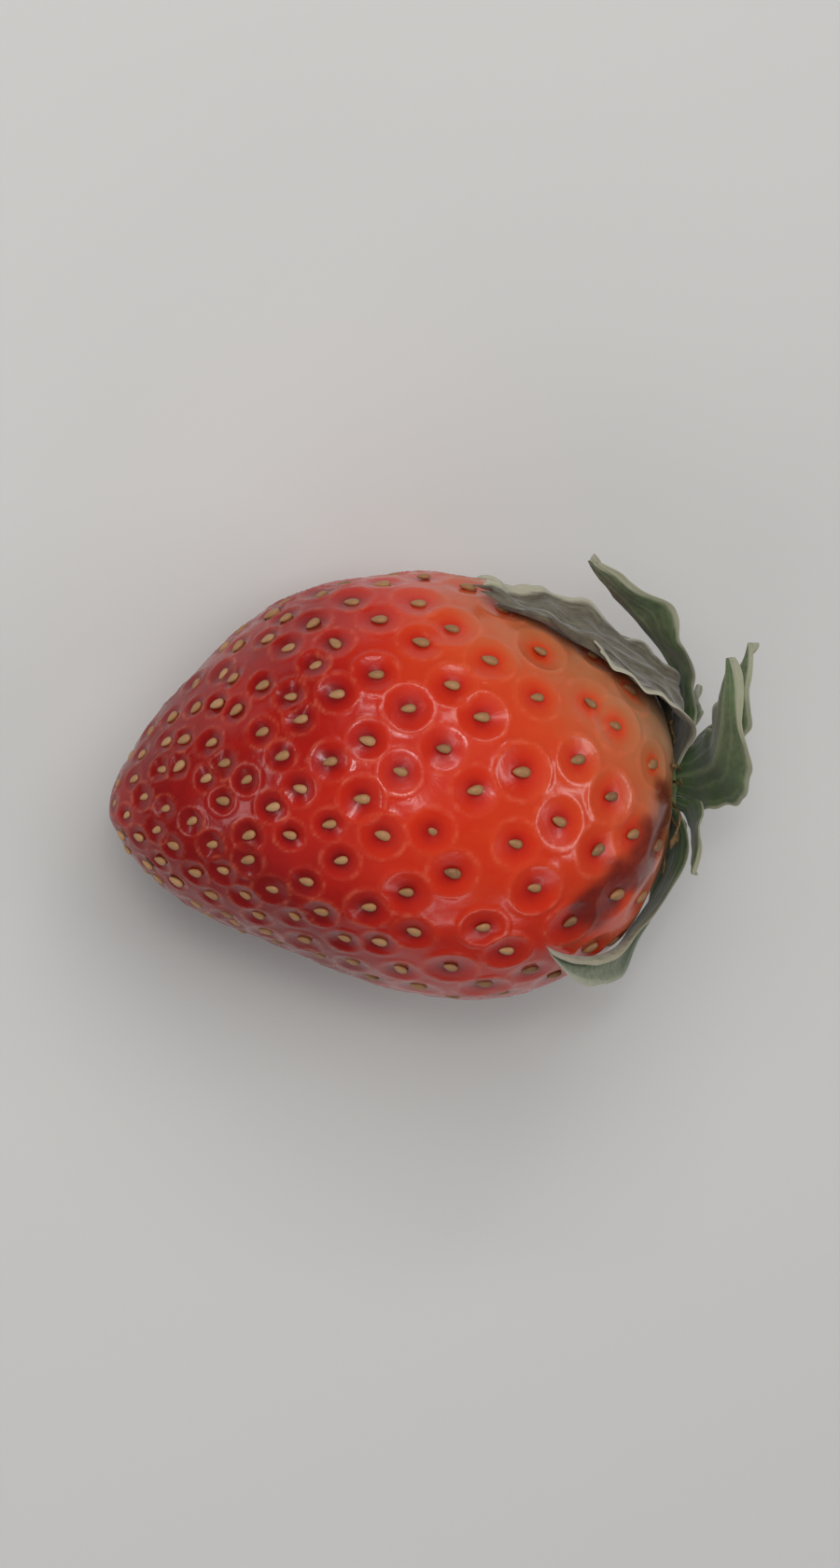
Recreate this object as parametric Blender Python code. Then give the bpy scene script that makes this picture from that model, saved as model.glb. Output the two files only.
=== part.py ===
"""A ripe strawberry as picked, lying on its side: the fruit, its green calyx and a short stub of stalk.

Metres, +Z up. The tip points along -X and the stalk along +X. The origin is the middle of the small flat spot
that the fruit rests on. Round the fruit's own axis, an angle of 0 is up, 90 degrees is +Y and 180 is down.
"""

import math

import bmesh
import bpy
import numpy as np
from mathutils import Matrix, Vector

# Fruit
FRUIT_LENGTH = 0.046
FRUIT_WIDTH = 0.0352
FRUIT_HEIGHT = 0.0338
FLAT_DEPTH = 0.00055  # how far the resting spot is pressed in
FRUIT_RINGS = 40
FRUIT_SEGMENTS = 48
# The fruit's half outline from its tip, over the shoulder, to the middle of the dished stalk end:
# shares of the length and of the half width.
OUTLINE = (
    (0.000, 0.000),
    (0.020, 0.160),
    (0.060, 0.305),
    (0.125, 0.474),
    (0.245, 0.714),
    (0.400, 0.900),
    (0.580, 1.000),
    (0.740, 0.950),
    (0.870, 0.790),
    (0.955, 0.560),
    (0.992, 0.340),
    (0.985, 0.180),
    (0.972, 0.000),
)
# The fruit's middle line: share of the length, then how far it wanders to +Y and to +Z.
MIDDLE_LINE = (
    (0.00, -0.0011, 0.0000),
    (0.14, -0.0001, 0.0003),
    (0.32, 0.0012, 0.0003),
    (0.58, 0.0000, 0.0000),
    (0.86, -0.0010, 0.0002),
    (1.00, 0.0004, 0.0006),
)
# Shallow lobes round the fruit: how many, how deep as a share of the radius, and where the first one is.
LOBES = ((2, 0.008, 0.5), (3, 0.013, 1.1), (5, 0.006, 2.3))

FIT_GAP = 0.0003  # between pieces that touch
LAYER_GAP = 0.0005  # between one layer of leaves and the next

# Calyx disc, the green seat that stalk, leaves and stamens grow from
DISC_RADIUS = 0.0036
DISC_THICKNESS = 0.0013
DISC_SEGMENTS = 28

# Stalk
STALK_RADIUS = 0.00105
STALK_LENGTH = 0.0032
STALK_DROOP = 0.0006
STALK_FLARE = 1.35  # the stalk's foot, as a share of its radius
STALK_POINTS = 12

# Withered stamens, between the fruit and the leaves
STAMEN_COUNT = 18
STAMEN_RADIUS = 0.00017
STAMEN_STANDOFF = STAMEN_RADIUS + FIT_GAP + 0.00008  # a stamen's middle above the skin
STAMEN_LENGTHS = (0.0034, 0.0046, 0.0029, 0.0040)
STAMEN_START = 0.0007  # how far out from the disc's rim a stamen starts
STAMEN_SWAY = 7  # degrees to one side or the other
STAMEN_POINTS = 8

# Calyx leaves
LEAF_THICKNESS = 0.0005
LEAF_TIP_HALF_WIDTH = 0.00022
LEAF_BASE_SHARE = 0.44  # half width where a leaf starts, as a share of its widest
LEAF_WIDEST_AT = 0.42  # share of the leaf's length
LEAF_ROWS = 16
LEAF_COLUMNS = 4
LEAF_START = 0.0008  # how far out from the disc's rim a leaf starts
TWIST_INWARD = 0.35  # how much of a leaf's twist its inner edge takes
SEPAL_STANDOFF = STAMEN_STANDOFF + STAMEN_RADIUS + FIT_GAP + LEAF_THICKNESS / 2
BRACT_LAYER = LEAF_THICKNESS + LAYER_GAP  # a bract's middle, out from the sepals' layer

# The inner ring: angle, half width, how far it runs along the skin, how far its end lifts off the skin,
# how late it lifts (the power of the lift), sideways sweep at the end in degrees, lift of its two edges, and
# twist: how far one edge stands out at the end, as a share of the half width. The other edge goes in by less.
SEPALS = {
    "sepal_upper": (60, 0.0044, 0.0235, -0.0006, 2.0, 10, 0.0003, 0.0),
    "sepal_front": (8, 0.0034, 0.0085, 0.0062, 1.3, 38, 0.0003, -0.9),
    "sepal_lower": (-80, 0.0037, 0.0195, -0.0004, 2.0, 46, 0.0011, -0.4),
    "sepal_near_floor": (-132, 0.0033, 0.0120, 0.0030, 1.8, -6, 0.0003, 0.0),
    "sepal_under": (174, 0.0031, 0.0090, 0.0048, 1.5, 6, 0.0003, 0.3),
    "sepal_far": (118, 0.0036, 0.0200, -0.0004, 2.2, 6, 0.0003, 0.0),
}
# The outer ring, between the sepals. A bract runs no closer to the skin than the sepals beside it.
BRACTS = {
    "bract_upper": (33, 0.0019, 0.0060, 0.0062, 1.3, 28, 0.0002, -0.4),
    "bract_front": (-36, 0.0020, 0.0048, 0.0004, 1.6, -4, 0.0002, 0.0),
    "bract_lower": (-116, 0.0019, 0.0072, 0.0016, 1.6, -2, 0.0002, 0.0),
    "bract_near_floor": (-160, 0.0018, 0.0044, 0.0040, 1.3, 0, 0.0002, 0.3),
    "bract_under": (146, 0.0018, 0.0044, 0.0052, 1.3, 0, 0.0002, -0.3),
    "bract_far": (88, 0.0023, 0.0145, 0.0018, 1.8, 0, 0.0002, -1.1),
}


def spline(points, samples_per_span=24, mirror_ends=False):
    """Points of a smooth Catmull-Rom curve through the given points. Mirrored ends meet the axis squarely."""
    given = np.array(points, float)
    first, last = 2 * given[0] - given[1], 2 * given[-1] - given[-2]
    if mirror_ends:
        first, last = given[1] * (1, -1), given[-2] * (1, -1)
    run = np.vstack([first, given, last])
    share = np.linspace(0, 1, samples_per_span, endpoint=False)[:, None]
    spans = []
    for a, b, c, d in zip(run, run[1:], run[2:], run[3:]):
        bend = 2 * a - 5 * b + 4 * c - d
        twist = 3 * b - 3 * c + d - a
        spans.append(b + 0.5 * ((c - a) * share + bend * share**2 + twist * share**3))
    return np.vstack([*spans, given[-1:]])


PROFILE = spline(OUTLINE, mirror_ends=True) * (FRUIT_LENGTH, FRUIT_WIDTH / 2)
ARC = np.concatenate([[0], np.cumsum(np.hypot(*np.diff(PROFILE, axis=0).T))])
WANDER = spline(MIDDLE_LINE)


def profile_at(arc):
    """(x from the tip, radius, and the skin's outward direction as x and radius) at a length along the outline."""
    x, radius = (np.interp(arc, ARC, PROFILE[:, i]) for i in (0, 1))
    step = ARC[-1] / 200
    ahead, behind = min(arc + step, ARC[-1]), max(arc - step, 0)
    dx, dr = (np.interp(ahead, ARC, PROFILE[:, i]) - np.interp(behind, ARC, PROFILE[:, i]) for i in (0, 1))
    return x, radius, -dr / math.hypot(dx, dr), dx / math.hypot(dx, dr)


def lobe(angle):
    """How far the lobes move the skin out or in, as a share of the radius."""
    return 1 + sum(depth * math.cos(count * angle + start) for count, depth, start in LOBES)


def skin_point(arc, angle, standoff=0.0):
    """The point on the skin, or standoff above it, at a length along the outline and an angle round the axis."""
    x, radius, out_x, out_radius = profile_at(arc)
    reach = radius * lobe(angle) + standoff * out_radius
    share = x / FRUIT_LENGTH
    side, rise = (np.interp(share, WANDER[:, 0], WANDER[:, i]) for i in (1, 2))
    height_share = FRUIT_HEIGHT / FRUIT_WIDTH
    y = side + reach * math.sin(angle)
    z = rise + reach * math.cos(angle) * height_share
    return Vector((x + standoff * out_x, y, z))


RING_ARCS = ARC[-1] * np.linspace(0, 1, FRUIT_RINGS + 1)
RING_ANGLES = np.linspace(0, 2 * math.pi, FRUIT_SEGMENTS, endpoint=False)
LOWEST = min((skin_point(arc, math.pi) for arc in np.linspace(0, ARC[-1], 400)), key=lambda point: point.z)
# Everything hangs on this empty, so that the flat spot's middle is the origin.
SEAT = Vector((-LOWEST.x, 0, -LOWEST.z - FLAT_DEPTH))
SHOULDER = PROFILE[:, 1].argmax()


def neck_arc(angle):
    """The length along the outline, at an angle round the axis, to the skin under the disc's rim."""
    stretch = lobe(angle) * math.hypot(math.sin(angle), math.cos(angle) * FRUIT_HEIGHT / FRUIT_WIDTH)
    return np.interp(DISC_RADIUS / stretch, PROFILE[:SHOULDER:-1, 1], ARC[:SHOULDER:-1])


def clear_scene():
    for old in list(bpy.data.objects):
        bpy.data.objects.remove(old, do_unlink=True)


def material(name, colour, roughness):
    made = bpy.data.materials.new(name)
    made.use_nodes = True
    shader = made.node_tree.nodes["Principled BSDF"]
    shader.inputs["Base Color"].default_value = (*colour, 1)
    shader.inputs["Roughness"].default_value = roughness
    shader.inputs["Metallic"].default_value = 0
    return made


def add_object(name, data, finish, seat):
    made = bpy.data.objects.new(name, data)
    bpy.context.scene.collection.objects.link(made)
    made.parent = seat
    data.materials.append(finish)
    return made


def mesh_from(shape, name):
    """The bmesh as a mesh, facing out and shaded smooth but for its sharp edges."""
    bmesh.ops.recalc_face_normals(shape, faces=shape.faces)
    mesh = bpy.data.meshes.new(name)
    shape.to_mesh(mesh)
    shape.free()
    mesh.shade_smooth()
    mesh.set_sharp_from_angle(angle=math.radians(40))
    return mesh


def turned(profile, segments):
    """A closed bmesh: a profile of (x, radius) whose two ends lie on the X axis, spun round it."""
    shape = bmesh.new()
    corners = [shape.verts.new((x, 0, radius)) for x, radius in profile]
    edges = [shape.edges.new(pair) for pair in zip(corners, corners[1:])]
    bmesh.ops.spin(
        shape,
        geom=corners + edges,
        cent=(0, 0, 0),
        axis=(1, 0, 0),
        angle=2 * math.pi,
        steps=segments,
        use_merge=True,
    )
    bmesh.ops.remove_doubles(shape, verts=shape.verts, dist=1e-6)
    return shape


def make_fruit(seat, finish):
    """A spun outline, whose rings are then set on the lobed, gently wandering skin, and cut flat below."""
    profile = [(profile_at(arc)[0], profile_at(arc)[1]) for arc in RING_ARCS]
    profile[0] = (0, 0)
    profile[-1] = (PROFILE[-1][0], 0)
    shape = turned(profile, FRUIT_SEGMENTS)
    arcs_by_place = {(round(x, 7), round(radius, 7)): arc for (x, radius), arc in zip(profile, RING_ARCS)}
    for corner in shape.verts:
        radius = math.hypot(corner.co.y, corner.co.z)
        place = min(arcs_by_place, key=lambda p: abs(p[0] - corner.co.x) + abs(p[1] - radius))
        angle = math.atan2(corner.co.y, corner.co.z)
        corner.co = skin_point(arcs_by_place[place], angle)
    fruit = add_object("fruit", mesh_from(shape, "fruit"), finish, seat)
    floor = bmesh.new()
    bmesh.ops.create_cube(floor, size=1)
    side = 2 * FRUIT_LENGTH
    bmesh.ops.scale(floor, vec=(side, side, side), verts=floor.verts)
    bmesh.ops.translate(floor, vec=(0, 0, -side / 2), verts=floor.verts)
    cutter = bpy.data.objects.new("floor_cutter", mesh_from(floor, "floor_cutter"))
    bpy.context.scene.collection.objects.link(cutter)
    cutter.hide_render = True
    cutter.display_type = "WIRE"
    cut = fruit.modifiers.new("resting_spot", "BOOLEAN")
    cut.operation = "DIFFERENCE"
    cut.object = cutter
    return fruit


def neck_line():
    """The middle of the stalk end: where the disc's fruit side sits, on the fruit's own middle line."""
    middle = skin_point(ARC[-1], 0)
    rim = max(skin_point(neck_arc(angle), angle).x for angle in RING_ANGLES)
    return Vector((rim + FIT_GAP, middle.y, middle.z))


def make_disc(seat, finish):
    """A low turned button with a rounded rim."""
    half = DISC_THICKNESS / 2
    rim = [
        (half + half * math.sin(turn), DISC_RADIUS - half + half * math.cos(turn))
        for turn in np.linspace(-math.pi / 2, math.pi / 2, 7)
    ]
    shape = turned([(0, 0), *rim, (DISC_THICKNESS, 0)], DISC_SEGMENTS)
    disc = add_object("calyx_disc", mesh_from(shape, "calyx_disc"), finish, seat)
    disc.location = neck_line()
    return disc


def round_cord(name, points, radii, depth, finish, seat, resolution):
    """A curve through the points with a round section and filled caps."""
    data = bpy.data.curves.new(name, "CURVE")
    data.dimensions = "3D"
    data.bevel_depth = depth
    data.bevel_resolution = resolution
    data.use_fill_caps = True
    line = data.splines.new("POLY")
    line.points.add(len(points) - 1)
    for slot, point, radius in zip(line.points, points, radii):
        slot.co = (*point, 1)
        slot.radius = radius
    return add_object(name, data, finish, seat)


def make_stalk(seat, finish):
    start = neck_line() + Vector((DISC_THICKNESS + FIT_GAP, 0, 0))
    shares = np.linspace(0, 1, STALK_POINTS)
    points = [start + Vector((share * STALK_LENGTH, 0, -STALK_DROOP * share**2)) for share in shares]
    radii = [1 + (STALK_FLARE - 1) * (1 - share) ** 4 for share in shares]
    return round_cord("stalk", points, radii, STALK_RADIUS, finish, seat, 3)


def leaf_half_width(share, widest):
    """A lance shape: it swells from its foot to its widest place and runs out to a narrow tip."""
    swell = math.sin(min(1.0, share / LEAF_WIDEST_AT) * math.pi / 2)
    foot = LEAF_BASE_SHARE + (1 - LEAF_BASE_SHARE) * swell
    past = max(0.0, (share - LEAF_WIDEST_AT) / (1 - LEAF_WIDEST_AT))
    return max(LEAF_TIP_HALF_WIDTH, widest * foot * (1 - past**2.2))


def leaf_line(share, values):
    """The point on a leaf's own middle line, on its ring's inner layer, and the direction that faces off the fruit."""
    angle, _, run, lift, late, sweep, _, _ = values

    def place(at):
        turn = math.radians(angle + sweep * at**2)
        return skin_point(neck_arc(turn) - LEAF_START - at * run, turn, SEPAL_STANDOFF + lift * at**late)

    step = 0.5 / LEAF_ROWS
    along = place(min(share + step, 1)) - place(max(share - step, 0))
    turn = math.radians(angle + sweep * share**2)
    around = Vector((0, math.cos(turn), -math.sin(turn)))
    return place(share), around.cross(along).normalized()


def leaf_point(share, across, values, layer):
    """A point on a leaf's middle sheet: share is 0 at its foot and 1 at its tip, across is -1 to 1.

    The sheet bends round the fruit's axis, its edges lift a little, and a leaf that would reach the surface
    under the fruit lies along it.
    """
    angle, widest, _, _, _, sweep, edge_lift, twist = values
    middle, off_fruit = leaf_line(share, values)
    half_width = leaf_half_width(share, widest)
    slant = twist * across
    slant *= share if slant > 0 else TWIST_INWARD * share**2
    middle += off_fruit * (layer + edge_lift * across**2 * math.sin(share * math.pi) ** 0.5 + slant * half_width)
    axis = neck_line()
    axis.x = middle.x
    reach = (middle - axis).length
    turn = across * half_width / reach
    point = axis + Matrix.Rotation(-turn, 3, "X") @ (middle - axis)
    point.z = max(point.z, LEAF_THICKNESS / 2 + FIT_GAP - SEAT.z)
    return point


def make_leaf(name, values, layer, finish, seat):
    """A grid laid along the leaf's sheet, given its thickness by Solidify."""
    shape = bmesh.new()
    bmesh.ops.create_grid(shape, x_segments=LEAF_ROWS, y_segments=LEAF_COLUMNS, size=1)
    for corner in shape.verts:
        corner.co = leaf_point((corner.co.x + 1) / 2, corner.co.y, values, layer)
    leaf = add_object(name, mesh_from(shape, name), finish, seat)
    wall = leaf.modifiers.new("thickness", "SOLIDIFY")
    wall.thickness = LEAF_THICKNESS
    wall.offset = 0
    return leaf


def make_stamens(seat, finish):
    """Thin threads that run out from the disc's rim over the fruit's stalk end, under the leaves."""
    for index in range(STAMEN_COUNT):
        angle = 2 * math.pi * index / STAMEN_COUNT
        length = STAMEN_LENGTHS[index % len(STAMEN_LENGTHS)]
        sway = math.radians(STAMEN_SWAY) * (-1) ** index
        shares = np.linspace(0, 1, STAMEN_POINTS)
        points = [
            skin_point(neck_arc(angle) - STAMEN_START - share * length, angle + sway * share, STAMEN_STANDOFF)
            for share in shares
        ]
        radii = [1 - 0.45 * share for share in shares]
        round_cord(f"stamen_{index + 1:02d}", points, radii, STAMEN_RADIUS, finish, seat, 1)


def main():
    clear_scene()
    seat = bpy.data.objects.new("seat", None)
    bpy.context.scene.collection.objects.link(seat)
    seat.location = SEAT
    red = material("fruit_skin", (0.50, 0.030, 0.014), 0.28)
    green = material("leaf", (0.045, 0.085, 0.028), 0.6)
    pale_green = material("stalk_green", (0.16, 0.20, 0.07), 0.55)
    brown = material("stamen_brown", (0.12, 0.07, 0.03), 0.8)
    make_fruit(seat, red)
    make_disc(seat, pale_green)
    make_stalk(seat, pale_green)
    for name, values in SEPALS.items():
        make_leaf(name, values, 0, green, seat)
    for name, values in BRACTS.items():
        make_leaf(name, values, BRACT_LAYER, green, seat)
    make_stamens(seat, brown)


main()
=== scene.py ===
"""A ripe strawberry, as picked, lying on its side. The tip points along -X and the stalk along +X."""

import math

import bpy
import numpy as np
from mathutils import Matrix, Vector


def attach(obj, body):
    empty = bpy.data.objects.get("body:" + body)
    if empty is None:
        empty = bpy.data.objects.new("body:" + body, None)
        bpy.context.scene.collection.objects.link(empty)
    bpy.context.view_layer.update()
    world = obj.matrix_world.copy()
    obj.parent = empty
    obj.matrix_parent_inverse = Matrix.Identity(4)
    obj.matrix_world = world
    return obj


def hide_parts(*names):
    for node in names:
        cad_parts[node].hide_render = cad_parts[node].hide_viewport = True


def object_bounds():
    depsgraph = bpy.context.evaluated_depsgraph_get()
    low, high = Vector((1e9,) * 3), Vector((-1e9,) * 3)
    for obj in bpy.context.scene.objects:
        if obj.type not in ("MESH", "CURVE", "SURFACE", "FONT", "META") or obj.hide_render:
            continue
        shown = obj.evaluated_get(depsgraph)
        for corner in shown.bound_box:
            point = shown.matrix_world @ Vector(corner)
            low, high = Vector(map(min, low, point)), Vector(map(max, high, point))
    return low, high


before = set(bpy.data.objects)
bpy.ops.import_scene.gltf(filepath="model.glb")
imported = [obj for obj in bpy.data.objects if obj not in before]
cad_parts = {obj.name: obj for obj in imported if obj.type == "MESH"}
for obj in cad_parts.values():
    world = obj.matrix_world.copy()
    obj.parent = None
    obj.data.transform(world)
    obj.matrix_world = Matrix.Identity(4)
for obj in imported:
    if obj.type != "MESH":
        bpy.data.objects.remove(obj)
CAD_LOW, CAD_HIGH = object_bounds()

# ---------------------------------------------------------------------------------------------------------
# Fruit: the flower's swollen seat, a soft red cone with a dished stalk end. Its wet-looking skin is drawn in
# round a pit for each seed and stands up in a fine rim round the pit. It lies on a spot pressed flat.
# ---------------------------------------------------------------------------------------------------------
FRUIT_LENGTH, FRUIT_WIDTH, FRUIT_HEIGHT = 0.046, 0.0352, 0.0338
FLAT_DEPTH = 0.00055  # how far the spot that it lies on is pressed in
FRUIT_ROWS, FRUIT_COLUMNS = 246, 400
# The half outline from the tip over the shoulder to the stalk end: shares of the length and half width.
OUTLINE = (
    (0.000, 0.000),
    (0.020, 0.160),
    (0.060, 0.305),
    (0.125, 0.474),
    (0.245, 0.714),
    (0.400, 0.900),
    (0.580, 1.000),
    (0.740, 0.950),
    (0.870, 0.790),
    (0.955, 0.560),
    (0.992, 0.340),
    (0.985, 0.180),
    (0.972, 0.000),
)
# The middle line: share of the length, then how far it wanders to +Y and to +Z.
MIDDLE_LINE = (
    (0.00, -0.0011, 0.0000),
    (0.14, -0.0001, 0.0003),
    (0.32, 0.0012, 0.0003),
    (0.58, 0.0000, 0.0000),
    (0.86, -0.0010, 0.0002),
    (1.00, 0.0004, 0.0006),
)
LOBES = ((2, 0.008, 0.5), (3, 0.013, 1.1), (5, 0.006, 2.3))  # how many, how deep, where the first one is


def spline(points, mirror_ends=False):
    """A Catmull-Rom curve: cubic spans, with the slope at a point half the step between its neighbours.

    With mirror_ends the curve leaves and meets the axis at a right angle, as a round end does.
    """
    given = np.array(points, float)
    first, last = 2 * given[0] - given[1], 2 * given[-1] - given[-2]
    if mirror_ends:
        first, last = given[1] * (1, -1), given[-2] * (1, -1)
    run = np.vstack([first, given, last])
    a, b, c, d = (run[i : i + len(given) - 1, None] for i in range(4))
    t = np.linspace(0, 1, 24, endpoint=False)[None, :, None]
    spans = b + 0.5 * ((c - a) * t + (2 * a - 5 * b + 4 * c - d) * t**2 + (3 * b - 3 * c + d - a) * t**3)
    return np.vstack([spans.reshape(-1, given.shape[1]), given[-1:]])


PROFILE = spline(OUTLINE, mirror_ends=True) * (FRUIT_LENGTH, FRUIT_WIDTH / 2)
ARC = np.concatenate([[0], np.cumsum(np.hypot(*np.diff(PROFILE, axis=0).T))])
WANDER = spline(MIDDLE_LINE)


def lobe(angle):
    """How far the lobes move the skin out: one plus a cosine of the angle for each set of lobes."""
    return 1 + sum(depth * np.cos(count * angle + start) for count, depth, start in LOBES)


def skin(arc, angle, standoff=0.0, seat=(0.0, 0.0, 0.0)):
    """Points on the skin, or standoff above it, for arrays of lengths along the outline and angles (0 is up).

    x is the outline's. The outline's radius times the lobes, plus the standoff along its normal, reaches out
    from the middle line by its sine in y and by its cosine, squeezed to the fruit's height, in z.
    """
    arc, angle, standoff = np.broadcast_arrays(arc, angle, standoff)
    x, radius = (np.interp(arc, ARC, PROFILE[:, i]) for i in (0, 1))
    step = ARC[-1] / 200
    ahead, behind = np.minimum(arc + step, ARC[-1]), np.maximum(arc - step, 0)
    dx, dr = (np.interp(ahead, ARC, PROFILE[:, i]) - np.interp(behind, ARC, PROFILE[:, i]) for i in (0, 1))
    slope = np.hypot(dx, dr)
    reach = radius * lobe(angle) + standoff * dx / slope
    side, rise = (np.interp(x / FRUIT_LENGTH, WANDER[:, 0], WANDER[:, i]) for i in (1, 2))
    y = side + reach * np.sin(angle)
    z = rise + reach * np.cos(angle) * FRUIT_HEIGHT / FRUIT_WIDTH
    return np.stack([x - standoff * dr / slope, y, z], axis=-1) + seat


LOWEST = min(skin(np.linspace(0, ARC[-1], 400), math.pi), key=lambda point: point[2])
SEAT = np.array([-LOWEST[0], 0, -LOWEST[2] - FLAT_DEPTH])  # moves the flat spot's middle to the origin

# Seeds sit in spirals a golden angle apart, close at the tip and wide at the shoulder, with none under the
# calyx. The spacings go with shares of the length. A seed fills one cell of a grid of even triangles.
SEED_SPACING = ((0.0, 0.0025), (0.15, 0.0030), (0.3, 0.0036), (0.45, 0.0045), (0.6, 0.0051), (1.0, 0.0053))
SEED_FIRST_ARC, SEED_LAST_SHARE = 0.0012, 0.962
chance = np.random.default_rng(19)
fine_arc = np.linspace(0, ARC[-1], 4000)
fine_share = np.interp(fine_arc, ARC, PROFILE[:, 0]) / FRUIT_LENGTH
spacing = np.interp(fine_share, *np.array(SEED_SPACING).T)
per_arc = 2 * math.pi * np.interp(fine_arc, ARC, PROFILE[:, 1]) / (0.866 * spacing**2)
last = np.searchsorted(fine_share, SEED_LAST_SHARE)
seeds_so_far = np.concatenate([[0], np.cumsum(per_arc[1:] * np.diff(fine_arc))])
SEED_COUNT = int(seeds_so_far[last])
seed_arc = np.interp(np.arange(SEED_COUNT) + 0.7, seeds_so_far, fine_arc)
seed_spacing = np.interp(seed_arc, fine_arc, spacing)
seed_arc += chance.normal(0, 0.10, SEED_COUNT) * seed_spacing
seed_arc = np.maximum(seed_arc, SEED_FIRST_ARC)
seed_share = np.interp(seed_arc, ARC, PROFILE[:, 0]) / FRUIT_LENGTH
seed_radius = np.maximum(np.interp(seed_arc, ARC, PROFILE[:, 1]), 0.001)
seed_angle = np.arange(SEED_COUNT) * math.pi * (3 - math.sqrt(5)) + 0.6
seed_angle += chance.normal(0, 0.10, SEED_COUNT) * seed_spacing / seed_radius
pit_radius = seed_spacing * chance.uniform(0.37, 0.46, SEED_COUNT)
pit_depth = np.interp(seed_share, (0, 0.12, 0.35, 0.75, 1), (0.00022, 0.00030, 0.00038, 0.00032, 0.0002))
pit_depth *= chance.uniform(0.75, 1.15, SEED_COUNT)
PIT_RIM = 0.00008  # height of the rim round a pit
pit_rim = np.clip(chance.normal(1.0, 0.45, SEED_COUNT), 0.25, 1.8)
pit_rim *= np.interp(seed_share, (0, 0.3, 0.9, 1), (0.5, 1, 1, 0.6))
seed_seat = skin(seed_arc, seed_angle, seat=SEAT)


def ease(low, high, value):
    """0 below low, 1 above high, and three t squared minus two t cubed between them."""
    t = np.clip((value - low) / (high - low), 0, 1)
    return t * t * (3 - 2 * t)


def swells(points, size, count, seed):
    """Slow unevenness, mostly from -1 to 1: a mean of sine waves of about that size in random directions."""
    waves = np.random.default_rng(seed)
    turn = waves.normal(size=(count, 3))
    turn /= np.linalg.norm(turn, axis=1)[:, None]
    turn *= 2 * math.pi / size * waves.uniform(0.7, 1.4, count)[:, None]
    return np.sin(points @ turn.T + waves.uniform(0, 2 * math.pi, count)).sum(-1) / math.sqrt(count / 2) / 1.6


def pits(points):
    """(height, how near a seed, how near a pit's rim) at each point, from its distance to every seed.

    With t as that distance over the pit's own radius, a pit is a wide dish, its depth times one minus an
    eased step from t = 0.45 to 1, and a dip in its middle with an eased side from 0.1 to 0.55. Its rim is a
    Gaussian ridge at t = 1.03, and nearness to the seed is a Gaussian of t.
    """
    flat = points.reshape(-1, 3)
    square = (flat**2).sum(1)[:, None] + (seed_seat**2).sum(1) - 2 * flat @ seed_seat.T
    t = np.sqrt(np.maximum(square, 0)) / pit_radius
    dish, dip = 1 - ease(0.45, 1.0, t), 1 - ease(0.1, 0.55, t)
    ridge = np.exp(-(((t - 1.03) / 0.095) ** 2))
    height = (-pit_depth * (0.55 * dish + 0.45 * dip)).sum(1)
    height += (PIT_RIM * pit_rim * ridge).max(1)
    # Nearness to the seed, for a deeper red round it: partly the flesh's own colour, partly painted shade in
    # the pit.
    stain_and_shade = np.exp(-((t / 0.50) ** 2))
    shape = points.shape[:-1]
    return height.reshape(shape), stain_and_shade.max(1).reshape(shape), ridge.max(1).reshape(shape)


def shell(name, rings, attributes=(), ends=None, flat=False):
    """A closed mesh from rings of points, each row one ring, joined in quads and closed at both ends.

    A round end is a fan that meets at the given end point, or at the middle of its ring. The end of a flat
    leaf is zipped: each point joins the one that lies opposite it. The faces are turned out if the volume, a
    sixth of the sum of each triangle's corners' triple product, is negative. The attributes are values at the
    points of the rings.
    """
    rows, columns = rings.shape[:2]
    if ends is None:
        ends = rings[[0, -1]].mean(1)
    points = np.concatenate([rings.reshape(-1, 3), ends])
    index = np.arange(rows * columns).reshape(rows, columns)
    beside = np.roll(index, -1, axis=1)
    quads = np.stack([index[:-1], index[1:], beside[1:], beside[:-1]], axis=-1).reshape(-1, 4)
    if flat:
        k, half = np.arange(1, columns // 2 - 1), columns // 2
        zip_quads = np.stack([k, k + 1, columns - k - 1, columns - k], -1)
        zip_tips = np.array([(0, 1, columns - 1), (half - 1, half, half + 1)])
        quads = np.concatenate([quads, index[0][zip_quads], index[-1][zip_quads[:, ::-1]]])
        fans = np.concatenate([index[0][zip_tips], index[-1][zip_tips[:, ::-1]]])
        points = points[:-2]
    else:
        first = np.stack([np.full(columns, rows * columns), index[0], beside[0]], axis=-1)
        final = np.stack([np.full(columns, rows * columns + 1), beside[-1], index[-1]], axis=-1)
        fans = np.concatenate([first, final])
    sides = np.concatenate([quads[:, :3], quads[:, [0, 2, 3]], fans])
    if np.einsum("ij,ij->", points[sides[:, 0]], np.cross(points[sides[:, 1]], points[sides[:, 2]])) < 0:
        quads, fans = quads[:, ::-1], fans[:, ::-1]
    mesh = bpy.data.meshes.new(name)
    mesh.vertices.add(len(points))
    mesh.vertices.foreach_set("co", points.astype(np.float32).ravel())
    mesh.loops.add(quads.size + fans.size)
    mesh.loops.foreach_set("vertex_index", np.concatenate([quads.ravel(), fans.ravel()]).astype(np.int32))
    mesh.polygons.add(len(quads) + len(fans))
    starts = np.concatenate([np.arange(len(quads)) * 4, quads.size + np.arange(len(fans)) * 3])
    mesh.polygons.foreach_set("loop_start", starts.astype(np.int32))
    mesh.update(calc_edges=True)
    mesh.validate()
    mesh.shade_smooth()
    for label, values in dict(attributes).items():
        values = np.concatenate([values.ravel(), [values[0].mean(), values[-1].mean()]])[: len(points)]
        mesh.attributes.new(label, "FLOAT", "POINT").data.foreach_set("value", values.astype(np.float32))
    piece = bpy.data.objects.new(name, mesh)
    bpy.context.scene.collection.objects.link(piece)
    return piece


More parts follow.
